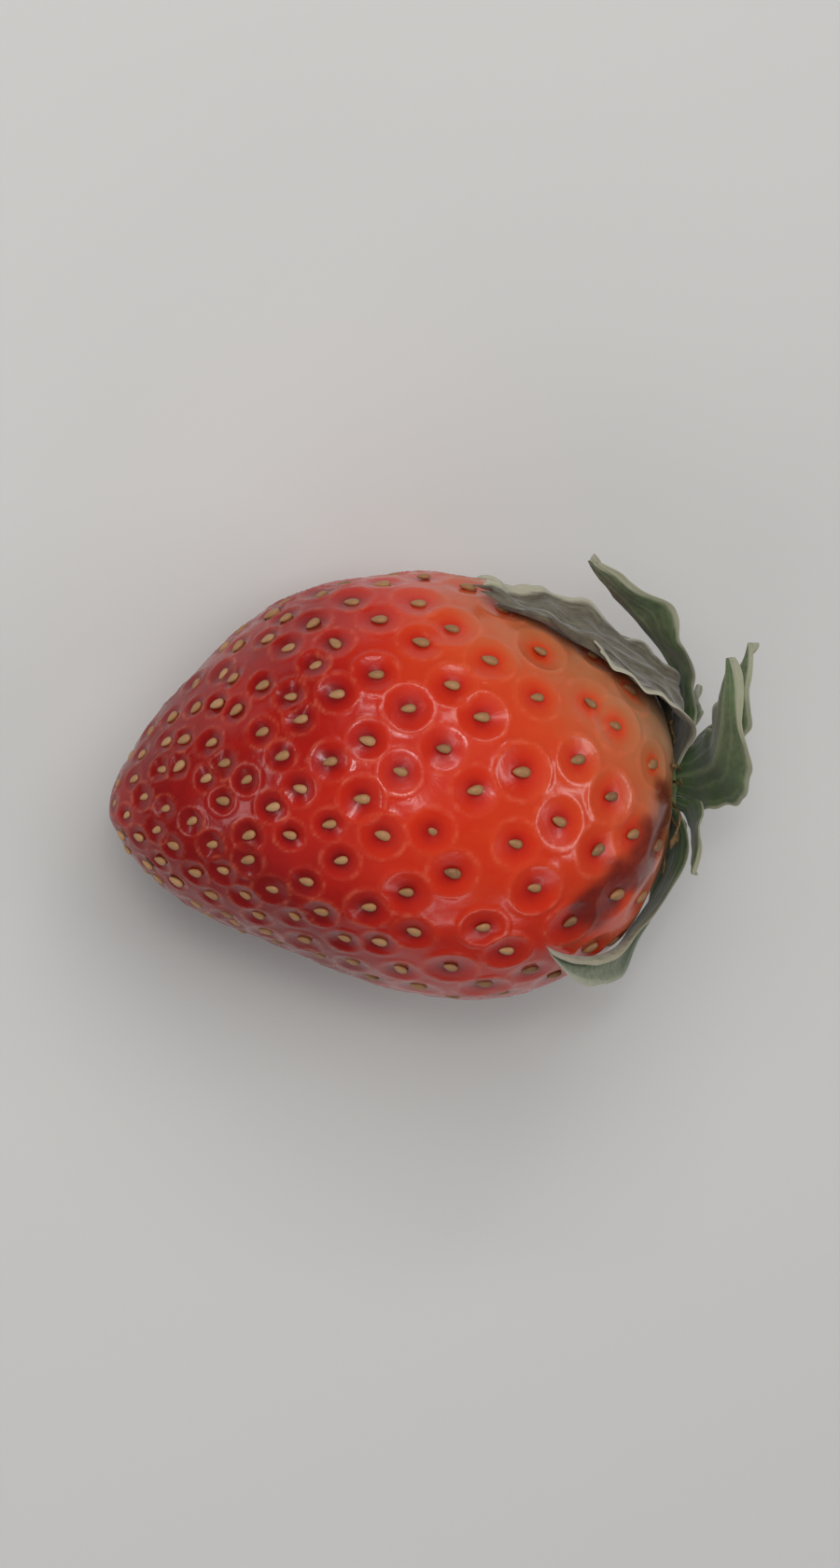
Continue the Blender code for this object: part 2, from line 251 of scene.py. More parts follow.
class Socket:
    """An output of a material's nodes. Operators on it add Math nodes, and node() adds any other."""

    def __init__(self, tree, output=None):
        self.tree, self.output = tree, output

    def node(self, kind, settings=None, inputs=None, output=0):
        """A new node: its settings first, ramp stops as (place, colour), then its inputs' values or links."""
        made = self.tree.nodes.new("ShaderNode" + kind)
        for label, value in (settings or {}).items():
            if label == "stops":
                stops = made.color_ramp.elements
                while len(stops) < len(value):
                    stops.new(0.5)
                for stop, (place, colour) in zip(stops, value):
                    stop.position, stop.color = place, (*colour, 1)
            else:
                setattr(made, label, value)
        for label, value in (inputs or {}).items():
            slot = made.inputs[label]
            if isinstance(value, Socket):
                self.tree.links.new(value.output, slot)
            else:
                slot.default_value = (*value, 1) if slot.type == "RGBA" else value
        return Socket(self.tree, made.outputs[output])

    def maths(self, operation, first, second=0.0):
        """A Math node on two numbers or sockets."""
        return self.node("Math", {"operation": operation}, {0: first, 1: second})

    def __add__(self, other):
        return self.maths("ADD", self, other)

    def __sub__(self, other):
        return self.maths("SUBTRACT", self, other)

    def __rsub__(self, other):
        return self.maths("SUBTRACT", other, self)

    def __mul__(self, other):
        return self.maths("MULTIPLY", self, other)

    def __pow__(self, other):
        return self.maths("POWER", self, other)

    __radd__, __rmul__ = __add__, __mul__

    def ease(self, low, high):
        """0 below low and 1 above high, smoothly."""
        return self.node("MapRange", {"interpolation_type": "SMOOTHSTEP"}, {0: self, 1: low, 2: high})

    def mix(self, first, second):
        """The first colour where this is 0 and the second where it is 1."""
        return self.node("Mix", {"data_type": "RGBA"}, {0: self, 6: first, 7: second}, 2)

    def noise(self, vector, size, detail=2.0, roughness=0.5, distortion=0.0):
        """Noise whose lumps are about that size in metres, or in the vector's own units."""
        inputs = {"Vector": vector, "Scale": 1 / size, "Detail": detail, "Roughness": roughness}
        return self.node("TexNoise", {}, {**inputs, "Distortion": distortion}, "Fac")

    def bump(self, height, strength, distance, under=None):
        """The normal over a relief of that height, on top of another bump where one is given."""
        inputs = {"Height": height, "Strength": strength, "Distance": distance}
        return self.node("Bump", {}, {**inputs, **({"Normal": under} if under else {})})


def start_material(name):
    """A new material, and a socket with its tree to add nodes from."""
    made = bpy.data.materials.new(name)
    made.use_nodes = True
    return made, Socket(made.node_tree)


def finish_material(made, fixed, linked):
    """Sets the shader's fixed values and links the rest."""
    shader = made.node_tree.nodes["Principled BSDF"]
    for label, value in fixed.items():
        shader.inputs[label].default_value = value
    for label, socket in linked.items():
        made.node_tree.links.new(socket.output, shader.inputs[label])


SLOW_SWELL, FINE_SWELL = 0.00013, 0.00005  # how far the skin swells between its pits
END_TAPER = 0.002  # pits and swells fade out within this of the two ends of the outline
fruit_arc = ARC[-1] * np.linspace(0, 1, FRUIT_ROWS + 1)[1:-1, None]
fruit_angle = np.linspace(0, 2 * math.pi, FRUIT_COLUMNS, endpoint=False)[None, :]
smooth_skin = skin(fruit_arc, fruit_angle, seat=SEAT)
pit_height, by_seed, on_rim = pits(smooth_skin)
unevenness = SLOW_SWELL * swells(smooth_skin, 0.011, 14, 5) + FINE_SWELL * swells(smooth_skin, 0.0045, 14, 6)
taper = ease(0, END_TAPER, fruit_arc) * ease(0, END_TAPER, ARC[-1] - fruit_arc)
fruit_rings = skin(fruit_arc, fruit_angle, (pit_height + unevenness) * taper, SEAT)
fruit_rings[..., 2] = np.maximum(fruit_rings[..., 2], 0)  # the flat spot that it lies on
share = np.interp(fruit_arc, ARC, PROFILE[:, 0])[..., 0][:, None] / FRUIT_LENGTH * np.ones_like(fruit_angle)
# How ripe the skin is: deepest red at the tip, paler towards the stalk. Painted shade deepens the red on the
# -Y side and on the underside, and painted light turns the +Y side more orange away from the tip.
RIPENESS = ((0, 0.98), (0.25, 0.88), (0.5, 0.64), (0.7, 0.50), (0.86, 0.34), (0.95, 0.15), (1, 0.05))
ripeness = np.interp(share, *np.array(RIPENESS).T)
ripeness += 0.16 * ease(0.1, 0.9, -np.sin(fruit_angle)) + 0.14 * ease(0.0, 0.9, -np.cos(fruit_angle))
ripeness -= 0.15 * ease(0.0, 0.8, np.sin(fruit_angle)) * ease(0.3, 0.6, share)
ripeness += 0.07 * swells(smooth_skin, 0.018, 10, 8)
# A dark maroon streak beside the calyx runs through these places, each a share of the length and an angle.
STREAK, STREAK_SIZE = ((0.955, -0.06), (0.925, -0.22), (0.885, -0.32), (0.84, -0.38), (0.80, -0.46)), 0.0023
streak_share, streak_angle = spline(STREAK)[::6].T
before_end = slice(0, PROFILE[:, 0].argmax())
streak_arc = np.interp(streak_share * FRUIT_LENGTH, PROFILE[before_end, 0], ARC[before_end])
streak_at = skin(streak_arc, streak_angle, seat=SEAT)
streak_far = np.sqrt(((smooth_skin[..., None, :] - streak_at) ** 2).sum(-1)).min(-1) / STREAK_SIZE
overripe = 1 - ease(0.45, 1.45, streak_far + 0.25 * swells(smooth_skin, 0.003, 12, 9))
fruit = shell(
    "strawberry_fruit",
    fruit_rings,
    {"by_seed": by_seed, "on_rim": on_rim, "ripeness": ripeness, "overripe": overripe},
    np.concatenate([skin([0.0], 0.0, seat=SEAT), skin(ARC[-1:], 0.0, seat=SEAT)]),
)

skin_material, start = start_material("strawberry_skin")
place = start.node("TexCoord", {}, {}, "Object")
pit_stain_and_shade_mask = start.node("Attribute", {"attribute_name": "by_seed"}, {}, "Fac")
rim_highlight_mask = start.node("Attribute", {"attribute_name": "on_rim"}, {}, "Fac")
ripe_and_side_shade = start.node("Attribute", {"attribute_name": "ripeness"}, {}, "Fac")
streak = start.node("Attribute", {"attribute_name": "overripe"}, {}, "Fac")
blotches = start.noise(place, 0.006, 3.0, 0.55)
mottle = start.noise(place, 0.0011, 3.0, 0.6)
pores = start.noise(place, 0.00022, 2.0, 0.5)
# Near each seed the red is deeper: partly the flesh's own colour round the seed, partly painted shade in the
# pit.
shade = ripe_and_side_shade + (blotches - 0.5) * 0.22 + (mottle - 0.5) * 0.12 + pit_stain_and_shade_mask * 0.36
flesh_stops = (
    (0.00, (0.38, 0.22, 0.120)),
    (0.20, (0.50, 0.140, 0.052)),
    (0.42, (0.62, 0.060, 0.014)),
    (0.62, (0.56, 0.024, 0.006)),
    (0.82, (0.40, 0.009, 0.004)),
    (1.00, (0.21, 0.003, 0.003)),
)
flesh = start.node("ValToRGB", {"stops": flesh_stops}, {"Fac": shade})
# A paler, brighter orange-red on each pit's rim is a painted highlight, standing in for the glints on the
# rims.
flesh = (rim_highlight_mask * (0.06 + mottle.ease(0.45, 0.65) * 0.26)).mix(flesh, (0.78, 0.20, 0.10))
flesh = (streak * (0.88 + (mottle - 0.5) * 0.5)).mix(flesh, (0.125, 0.009, 0.006))
skin_roughness = 0.22 + (mottle - 0.5) * 0.10 + pit_stain_and_shade_mask * 0.12
skin_bump = start.bump(mottle, 0.18, 0.0002)
skin_bump = start.bump(pores, 0.10, 0.00006, skin_bump)
finish_material(
    skin_material,
    {
        "Subsurface Weight": 0.22,
        "Subsurface Radius": (1.0, 0.22, 0.10),
        "Subsurface Scale": 0.0022,
        "Specular IOR Level": 0.36,
        "Coat Weight": 0.16,
        "Coat Roughness": 0.08,
    },
    {"Base Color": flesh, "Roughness": skin_roughness, "Normal": skin_bump},
)
fruit.data.materials.append(skin_material)
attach(fruit, "root")
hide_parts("fruit")

# ---------------------------------------------------------------------------------------------------------
# Seeds: the strawberry's true fruits, hard dry nutlets the shape of a flattened drop. Each lies on the floor
# of its pit with its point towards the tip of the fruit, pale at the tip and browner at the shoulder.
# ---------------------------------------------------------------------------------------------------------
SEED_LENGTH, SEED_WIDTH, SEED_DEPTH = 0.00136, 0.00086, 0.00060
SEED_SINK = 0.30  # share of its thickness that lies under the pit's floor
SEED_ROWS, SEED_COLUMNS = 6, 9

seed_size = chance.normal(1, 0.08, SEED_COUNT) * np.interp(seed_share, (0, 0.2, 1), (0.72, 0.93, 1.05))
seed_turn = chance.normal(0, math.radians(16), SEED_COUNT)
nudge = 0.0003
ahead = skin(seed_arc - nudge, seed_angle, seat=SEAT) - skin(seed_arc + nudge, seed_angle, seat=SEAT)
around = skin(seed_arc, seed_angle + nudge / seed_radius, seat=SEAT) - seed_seat
ahead /= np.linalg.norm(ahead, axis=1)[:, None]
outward = np.cross(around, ahead)
outward /= np.linalg.norm(outward, axis=1)[:, None]
outward *= np.sign((outward * (seed_seat - smooth_skin.mean((0, 1)))).sum(1))[:, None]
sideways = np.cross(outward, ahead)
long_way = ahead * np.cos(seed_turn)[:, None] + sideways * np.sin(seed_turn)[:, None]
short_way = np.cross(outward, long_way)


def drop(along, turn):
    """A drop: x is the cosine of along, and the radius its sine, fuller behind and drawn to a point ahead."""
    belly = np.sin(along) * (1 - 0.28 * np.cos(along)) * (1 - 0.10 * np.cos(2 * turn) ** 2)
    return np.cos(along) + 0 * turn, belly * np.cos(turn), belly * np.sin(turn)


seed_along = np.linspace(0, math.pi, SEED_ROWS + 1)[1:-1, None]
seed_round = np.linspace(0, 2 * math.pi, SEED_COLUMNS, endpoint=False)[None, :]
drop_ends = ((1, -1), (0, 0), (0, 0))  # x, y and z of its point ahead and of its back
drop_x, drop_y, drop_z = (np.append(axis, end) for axis, end in zip(drop(seed_along, seed_round), drop_ends))
half = seed_size[:, None, None] * np.array([SEED_LENGTH, SEED_WIDTH, SEED_DEPTH]) / 2
middle = seed_seat + outward * (-pit_depth + (1 - 2 * SEED_SINK) * SEED_DEPTH * seed_size / 2)[:, None]
middle[:, 2] = np.maximum(middle[:, 2], SEED_DEPTH * 0.65)
seed_points = (
    middle[:, None]
    + drop_x[None, :, None] * half[..., :1] * long_way[:, None]
    + drop_y[None, :, None] * half[..., 1:2] * short_way[:, None]
    + drop_z[None, :, None] * half[..., 2:] * outward[:, None]
)
ring = np.arange((SEED_ROWS - 1) * SEED_COLUMNS).reshape(SEED_ROWS - 1, SEED_COLUMNS)
next_ring = np.roll(ring, -1, axis=1)
seed_quads = np.stack([ring[:-1], next_ring[:-1], next_ring[1:], ring[1:]], -1).reshape(-1, 4)
front = np.stack([np.full(SEED_COLUMNS, ring.size), next_ring[0], ring[0]], -1)
back = np.stack([np.full(SEED_COLUMNS, ring.size + 1), ring[-1], next_ring[-1]], -1)
step = (np.arange(SEED_COUNT) * len(drop_x))[:, None, None]
seed_faces = (seed_quads[None] + step).reshape(-1, 4).tolist()
seed_faces += (np.concatenate([front, back])[None] + step).reshape(-1, 3).tolist()
seed_mesh = bpy.data.meshes.new("seeds")
seed_mesh.from_pydata(seed_points.reshape(-1, 3).tolist(), [], seed_faces)
seed_mesh.shade_smooth()
seed_tone = np.interp(seed_share, (0, 0.35, 0.8, 1), (0.15, 0.4, 0.75, 0.85))
seed_tone += chance.normal(0, 0.16, SEED_COUNT)
seed_tone = np.repeat(seed_tone, len(drop_x)).astype(np.float32)
seed_mesh.attributes.new("tone", "FLOAT", "POINT").data.foreach_set("value", seed_tone)
seeds = bpy.data.objects.new("seeds", seed_mesh)
bpy.context.scene.collection.objects.link(seeds)

seed_material, start = start_material("seed_coat")
place = start.node("TexCoord", {}, {}, "Object")
tone = start.node("Attribute", {"attribute_name": "tone"}, {}, "Fac")
grain = start.noise(place, 0.00035, 2.0, 0.5)
seed_stops = (
    (0.0, (0.43, 0.235, 0.105)),
    (0.35, (0.36, 0.18, 0.072)),
    (0.7, (0.30, 0.145, 0.056)),
    (1.0, (0.19, 0.085, 0.036)),
)
seed_colour = start.node("ValToRGB", {"stops": seed_stops}, {"Fac": tone + (grain - 0.5) * 0.5})
finish_material(
    seed_material,
    {"Specular IOR Level": 0.5, "Coat Weight": 0.2, "Coat Roughness": 0.2},
    {"Base Color": seed_colour, "Roughness": 0.38 + grain * 0.15, "Normal": start.bump(grain, 0.3, 0.00008)},
)
seed_mesh.materials.append(seed_material)
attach(seeds, "root")

# ---------------------------------------------------------------------------------------------------------
# Calyx leaves: six lance-shaped sepals and, outside and between them, six narrower bracts. Soft, hairy green
# leaf with a midrib and long veins, drying to beige at edges and tips. All grow from the calyx disc.
# ---------------------------------------------------------------------------------------------------------
FIT_GAP = 0.0003
DISC_RADIUS, DISC_THICKNESS = 0.0036, 0.0013
SEPAL_STANDOFF, BRACT_LAYER = 0.00131, 0.0010
LEAF_START = 0.0008  # where a leaf's free part starts, out from the disc's rim
LEAF_ROOT = 0.0014  # how much of it before that is grown into the disc
LEAF_THICKNESS = 0.00026
LEAF_ROWS, LEAF_ROUND = 96, 88
# The line of a tear: the place across the leaf, and the share of the length that is missing there.
TEAR = (
    (-1.00, 0.39),
    (-0.88, 0.33),
    (-0.76, 0.37),
    (-0.62, 0.22),
    (-0.50, 0.24),
    (-0.40, 0.05),
    (-0.28, 0.09),
    (-0.14, 0.03),
    (0.05, 0.08),
    (0.25, 0.00),
    (0.45, 0.06),
    (1.00, 0.02),
)
LEAF_WIDEST_AT = 0.42  # share of the length
RIB_HEIGHT, KEEL_HEIGHT = 0.00022, 0.00007
WAVE_HEIGHT, CRUMPLE_HEIGHT, CURL_HEIGHT = 0.00038, 0.00042, 0.0008
TORN_END_WARP = 0.0006
FADED_SHRINK, FADED_CURL = 0.42, 0.0007  # share of the half width, and how far its edges turn up
TWIST_INWARD = 0.35  # a twisted leaf's inner edge goes in by this share of what its outer edge goes out
SHOULDER = PROFILE[:, 1].argmax()
# Each leaf's shape: angle in degrees with 0 on top, half width, run along the skin, lift of the end, how late
# it lifts, sweep at the end in degrees, lift of the edges and twist. Then its look: how dry it is, how wavy,
# how far its tip curls over, how torn it is, how close it lies to the skin and how far its end has faded.
LEAVES = {
    "sepal_upper": (
        (60, 0.0044, 0.0235, -0.0006, 2.0, 10, 0.0003, 0.0),
        (0.80, 0.7, 0.0003, 1.0, 0.00030, 0.0),
    ),
    "sepal_front": (
        (8, 0.0034, 0.0085, 0.0062, 1.3, 38, 0.0003, -0.9),
        (0.20, 0.9, 0.0008, 0.0, 0.0, 0.2),
    ),
    "sepal_lower": (
        (-80, 0.0037, 0.0195, -0.0004, 2.0, 46, 0.0008, -0.65),
        (0.12, 0.5, 0.0006, 0.0, 0.00080, 1.0),
    ),
    "sepal_near_floor": (
        (-132, 0.0033, 0.0120, 0.0030, 1.8, -6, 0.0003, 0.0),
        (0.10, 0.6, 0.0006, 0.0, 0.00040, 0.0),
    ),
    "sepal_under": (
        (174, 0.0031, 0.0090, 0.0048, 1.5, 6, 0.0003, 0.3),
        (0.15, 0.6, 0.0008, 0.0, 0.0, 0.1),
    ),
    "sepal_far": (
        (118, 0.0036, 0.0200, -0.0004, 2.2, 6, 0.0003, 0.0),
        (0.25, 0.8, 0.0006, 0.2, 0.00040, 0.2),
    ),
    "bract_upper": (
        (33, 0.0019, 0.0060, 0.0062, 1.3, 28, 0.0002, -0.4),
        (0.30, 0.9, 0.0009, 0.0, 0.0, 0.3),
    ),
    "bract_front": (
        (-36, 0.0020, 0.0048, 0.0004, 1.6, -4, 0.0002, 0.0),
        (0.20, 0.4, 0.0002, 0.0, 0.00030, 0.1),
    ),
    "bract_lower": (
        (-116, 0.0019, 0.0072, 0.0016, 1.6, -2, 0.0002, 0.0),
        (0.15, 0.6, 0.0006, 0.0, 0.0, 0.1),
    ),
    "bract_near_floor": (
        (-160, 0.0018, 0.0044, 0.0040, 1.3, 0, 0.0002, 0.3),
        (0.10, 0.6, 0.0006, 0.0, 0.0, 0.0),
    ),
    "bract_under": (
        (146, 0.0018, 0.0044, 0.0052, 1.3, 0, 0.0002, -0.3),
        (0.15, 0.6, 0.0006, 0.0, 0.0, 0.0),
    ),
    "bract_far": (
        (88, 0.0023, 0.0145, 0.0018, 1.8, 0, 0.0002, -1.1),
        (0.45, 1.0, 0.0005, 0.1, 0.0, 0.2),
    ),
}


def neck_arc(angle):
    """The length along the outline to where the skin lies under the disc's rim and has the disc's radius."""
    stretch = lobe(angle) * np.hypot(np.sin(angle), np.cos(angle) * FRUIT_HEIGHT / FRUIT_WIDTH)
    return np.interp(DISC_RADIUS / stretch, PROFILE[:SHOULDER:-1, 1], ARC[:SHOULDER:-1])


ring_angles = np.linspace(0, 2 * math.pi, 48, endpoint=False)
NECK = skin(ARC[-1:], 0.0, seat=SEAT)[0]
NECK[0] = skin(neck_arc(ring_angles), ring_angles, seat=SEAT)[:, 0].max() + FIT_GAP


def leaf_surface(values, look, layer, seed):
    """Rings of points from a leaf's root to its tip, and what its material needs to know at each of them.

    The middle line runs over the skin at a standoff that grows as a power of the share along. Across it the
    leaf turns round the neck's axis by its half width: a swelling sine to the widest place, then one minus a
    power. Each section is a flat loop, across by the cosine of its turn and thick by the root of its sine.
    Added along the leaf's normal are the lift and twist of the edges, waves, midrib, keels, crumples and
    curls. A tear shortens the leaf by its own share at each place across, and a faded end is drawn in towards
    one edge.
    """
    angle, widest, run, lift, late, sweep, edge_lift, twist = values
    dry, wave, tip_curl, torn, hug, faded = look
    own = np.random.default_rng(seed)
    turn = np.linspace(0, 2 * math.pi, LEAF_ROUND, endpoint=False)[None, :]
    across, outer = np.cos(turn), np.sin(turn)
    spread, edge = np.abs(across), np.sign(across)

    # Places along: a torn leaf stops short of its tip, by a different share at each place across.
    ragged = np.interp(across, *np.array(TEAR).T)
    ragged = ragged + 0.012 * np.sin(across * 31 + own.uniform(0, 6)) + 0.008 * np.sin(across * 53)
    at = np.linspace(0, 1, LEAF_ROWS)[:, None]
    along = at * (1 - torn * np.maximum(ragged, 0))
    free = ease(0.0, 0.22, along)

    # The middle line and the direction off the fruit.
    bend = np.radians(angle + sweep * along**2)
    arc = neck_arc(bend) - LEAF_START + LEAF_ROOT - along * (run + LEAF_ROOT)
    middle = skin(arc, bend, SEPAL_STANDOFF + lift * along**late, SEAT)
    tangent = np.gradient(middle, axis=0)
    tangent /= np.maximum(np.linalg.norm(tangent, axis=-1), 1e-12)[..., None]
    round_way = np.stack([0 * bend, np.cos(bend), -np.sin(bend)], -1)
    off = np.cross(round_way, tangent)
    off /= np.linalg.norm(off, axis=-1)[..., None]

    # The half width, with an uneven edge, tears in it and a faded end that has shrunk.
    swell = np.sin(np.minimum(1, along / LEAF_WIDEST_AT) * math.pi / 2)
    past = np.clip((along - LEAF_WIDEST_AT) / (1 - LEAF_WIDEST_AT), 0, 1)
    blunt = 2.2 + 1.6 * torn
    half_width = widest * (0.44 + 0.56 * swell) * (1 - past**blunt * (1 - 0.25 * torn))
    edge_noise = 1 + 0.05 * np.sin(along * 23 + own.uniform(0, 6) + 2 * edge)
    edge_noise += 0.03 * np.sin(along * 57 + own.uniform(0, 6) - edge)
    side = edge * own.uniform(1, 3)
    tears = np.abs(np.sin(along * 11 + side)) ** 3 + 0.5 * np.abs(np.sin(along * 27 + 2 * side)) ** 5
    edge_noise -= torn * 0.22 * tears * ease(0.25, 0.6, along)
    shrunk = faded * ease(0.40, 0.80, along)
    inward = FADED_SHRINK * shrunk * half_width
    half_width = np.maximum(half_width * edge_noise * (1 - FADED_SHRINK * shrunk), 0.00004)

    # How far each point lies off the middle sheet.
    waves = np.sin(along * own.uniform(9, 13) + own.uniform(0, 6) + 0.8 * edge) * spread**2
    waves += 0.5 * np.sin(along * own.uniform(19, 27) + own.uniform(0, 6) - 1.1 * across) * spread**2
    crumple = swells(np.stack([along * run, across * half_width, 0 * half_width], -1), 0.0036, 12, seed)
    slant = twist * across
    off_sheet = edge_lift * across**2 * np.sqrt(np.maximum(np.sin(along * math.pi), 0))
    off_sheet += slant * half_width * np.where(slant > 0, along, TWIST_INWARD * along**2)
    off_sheet += wave * WAVE_HEIGHT * waves * free
    off_sheet += RIB_HEIGHT * np.exp(-((across / 0.13) ** 2)) * (1 - along) ** 0.7 * (outer > 0)
    off_sheet += KEEL_HEIGHT * np.cos(across * 15) * free * (1 - along) * (outer > 0)
    off_sheet += dry * CURL_HEIGHT * ease(0.55, 1.0, spread) * free
    off_sheet += dry * CRUMPLE_HEIGHT * np.maximum(crumple, -0.7) * free
    off_sheet += tip_curl * ease(0.72, 1.0, along) ** 2 + FADED_CURL * shrunk * spread**2
    off_sheet += torn * TORN_END_WARP * ease(0.86, 1.0, at) * (0.5 + 0.5 * np.sin(across * 8 + 1))
    end = np.sqrt(np.clip((1 - at) / 0.04, 0, 1))
    thickness = LEAF_THICKNESS / 2 * np.sign(outer) * np.abs(outer) ** 0.5 * (0.25 + 0.75 * end)
    rise = layer * (0.35 + 0.65 * ease(0.0, 0.25, along)) - hug * ease(0.18, 0.5, along)
    points = middle + off * (rise + off_sheet + thickness)[..., None]

    # The turn round the neck's axis, which bends the sheet round the fruit.
    y, z = points[..., 1] - NECK[1], points[..., 2] - NECK[2]
    turned = (across * half_width + inward) / np.maximum(np.hypot(y, z), 0.0015)
    points[..., 1] = y * np.cos(turned) + z * np.sin(turned) + NECK[1]
    points[..., 2] = z * np.cos(turned) - y * np.sin(turned) + NECK[2]
    points[..., 2] = np.maximum(points[..., 2], 0.0002 + 0.0001 * outer)  # no leaf goes under the floor
    one = np.ones_like(along)
    return points, {
        "along": along,
        "across": across * one,
        "dry": dry * one,
        "faded": faded * ease(0.40, 0.68, along + 0.08 * across),
    }


leaf_material, start = start_material("calyx_leaf")
place = start.node("TexCoord", {}, {}, "Object")
along_leaf = start.node("Attribute", {"attribute_name": "along"}, {}, "Fac")
across_leaf = start.node("Attribute", {"attribute_name": "across"}, {}, "Fac")
dryness = start.node("Attribute", {"attribute_name": "dry"}, {}, "Fac")
faded_end = start.node("Attribute", {"attribute_name": "faded"}, {}, "Fac")
patches = start.noise(place, 0.0028, 3.0, 0.6)
cells = start.noise(place, 0.0005, 3.0, 0.6)
lengthwise = start.node("CombineXYZ", {}, {"X": along_leaf * 0.9, "Y": across_leaf, "Z": dryness * 5.0})
fibres = start.noise(lengthwise, 0.055, 3.0, 0.6, 0.3)
hairs = start.noise(place, 0.00012, 2.0, 0.6)
spread = start.maths("ABSOLUTE", across_leaf)
wander = across_leaf + (start.noise(place, 0.0016, 1.0) - 0.5) * 0.16
veins = start.maths("COSINE", wander * 15.7) * 0.5 + 0.5
veins = veins**6.0
rib = 1 - spread.ease(0.04, 0.16)
green = patches.ease(0.3, 0.7).mix((0.020, 0.040, 0.013), (0.050, 0.090, 0.028))
green = (cells * 0.35).mix(green, (0.080, 0.125, 0.042))
green = (veins * 0.30 + rib * 0.35).mix(green, (0.15, 0.19, 0.080))
beige = (fibres * 0.75 + cells * 0.25).ease(0.3, 0.7).mix((0.070, 0.058, 0.040), (0.170, 0.148, 0.105))
faded_green = cells.ease(0.3, 0.7).mix((0.17, 0.20, 0.12), (0.33, 0.35, 0.235))
withered = (dryness * 1.15 + patches * 0.9 + along_leaf * 0.5 * dryness - 0.95).ease(0.0, 0.45)
margin = (spread + (patches - 0.5) * 0.18 + along_leaf**4.0 * 0.35 + dryness * 0.08).ease(0.90, 1.02)
leaf_colour = withered.mix(green, beige)
leaf_colour = (faded_end * 0.9).mix(leaf_colour, faded_green)
leaf_colour = (margin * (0.42 + dryness * 0.50)).mix(leaf_colour, (0.46, 0.43, 0.32))
leaf_bump = start.bump(veins * 0.7 + rib * 0.5, 0.5, 0.00012)
leaf_bump = start.bump(cells * 0.5 + fibres * 0.7, 0.4, 0.00012, leaf_bump)
leaf_bump = start.bump(hairs, 0.25, 0.00005, leaf_bump)
finish_material(
    leaf_material,
    {
        "Subsurface Weight": 0.08,
        "Subsurface Radius": (0.5, 1.0, 0.2),
        "Subsurface Scale": 0.0006,
        "Sheen Weight": 0.25,
        "Sheen Roughness": 0.5,
        "Specular IOR Level": 0.35,
    },
    {"Base Color": leaf_colour, "Roughness": 0.52 + cells * 0.2, "Normal": leaf_bump},
)

for number, (leaf_name, (values, look)) in enumerate(LEAVES.items()):
    layer = BRACT_LAYER if leaf_name.startswith("bract") else 0.0
    rings, masks = leaf_surface(values, look, layer, 40 + number)
    leaf = shell("calyx_" + leaf_name, rings, masks, flat=True)
    leaf.data.materials.append(leaf_material)
    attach(leaf, "root")
    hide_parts(leaf_name)

# ---------------------------------------------------------------------------------------------------------
# Calyx disc: the pale green button that leaves, stamens and stalk grow from. Its top swells to the stalk, and
# its rim is scalloped where the leaves join it.
# ---------------------------------------------------------------------------------------------------------
DISC_ROWS, DISC_COLUMNS = 40, 120

disc_turn = np.linspace(0, 2 * math.pi, DISC_COLUMNS, endpoint=False)[None, :]
disc_at = np.linspace(0, 1, DISC_ROWS)[1:-1, None]
# The disc's half outline, from its underside: shares of its thickness and of its radius.
DISC_OUTLINE = (
    (0.00, 0.00),
    (0.02, 0.50),
    (0.10, 0.93),
    (0.45, 1.02),
    (0.80, 0.86),
    (1.02, 0.52),
    (1.32, 0.30),
    (1.45, 0.00),
)
disc_edge = spline(DISC_OUTLINE)
disc_arc = np.concatenate([[0], np.cumsum(np.hypot(*np.diff(disc_edge, axis=0).T))])
disc_x = np.interp(disc_at * disc_arc[-1], disc_arc, disc_edge[:, 0]) * DISC_THICKNESS
disc_r = np.interp(disc_at * disc_arc[-1], disc_arc, disc_edge[:, 1]) * DISC_RADIUS
scallop = 1 + 0.045 * np.cos(12 * disc_turn + 0.4) * ease(0.4, 1.0, disc_r / DISC_RADIUS)
scallop = scallop + 0.012 * np.sin(31 * disc_turn + 1.0)
disc_rings = np.stack(
    [
        NECK[0] + disc_x + 0 * disc_turn,
        NECK[1] + disc_r * scallop * np.sin(disc_turn),
        NECK[2] + disc_r * scallop * np.cos(disc_turn),
    ],
    -1,
)
disc = shell("calyx_button", disc_rings)

stalk_material, start = start_material("stalk_green")
place = start.node("TexCoord", {}, {}, "Object")
threads = start.node("Mapping", {}, {"Vector": place, "Scale": (0.12, 1.0, 1.0)})  # drawn out along the stalk
fibres = start.noise(threads, 0.00028, 3.0, 0.6)
soft = start.noise(place, 0.0018, 2.0, 0.5)
stalk_colour = soft.ease(0.3, 0.7).mix((0.10, 0.15, 0.035), (0.22, 0.25, 0.085))
stalk_colour = (fibres.ease(0.5, 0.75) * 0.6).mix(stalk_colour, (0.34, 0.31, 0.14))
finish_material(
    stalk_material,
    {
        "Subsurface Weight": 0.1,
        "Subsurface Radius": (0.6, 1.0, 0.3),
        "Subsurface Scale": 0.0008,
        "Sheen Weight": 0.2,
    },
    {"Base Color": stalk_colour, "Roughness": 0.5 + soft * 0.15, "Normal": start.bump(fibres, 0.5, 0.00015)},
)
disc.data.materials.append(stalk_material)
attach(disc, "root")
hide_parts("calyx_disc")

# ---------------------------------------------------------------------------------------------------------
# Stalk: a short stub of the fruit's stem, ribbed and hairy, nipped off at picking so that its end is crushed
# and frayed.
# ---------------------------------------------------------------------------------------------------------
STALK_RADIUS, STALK_LENGTH, STALK_DROOP, STALK_FLARE = 0.00105, 0.0032, 0.0006, 1.35
STALK_ROWS, STALK_COLUMNS = 80, 72
STALK_ROOT = 0.0012  # how much of it is grown into the disc
STALK_HOLLOW = 0.0007  # how far the middle of its torn end lies behind the edge

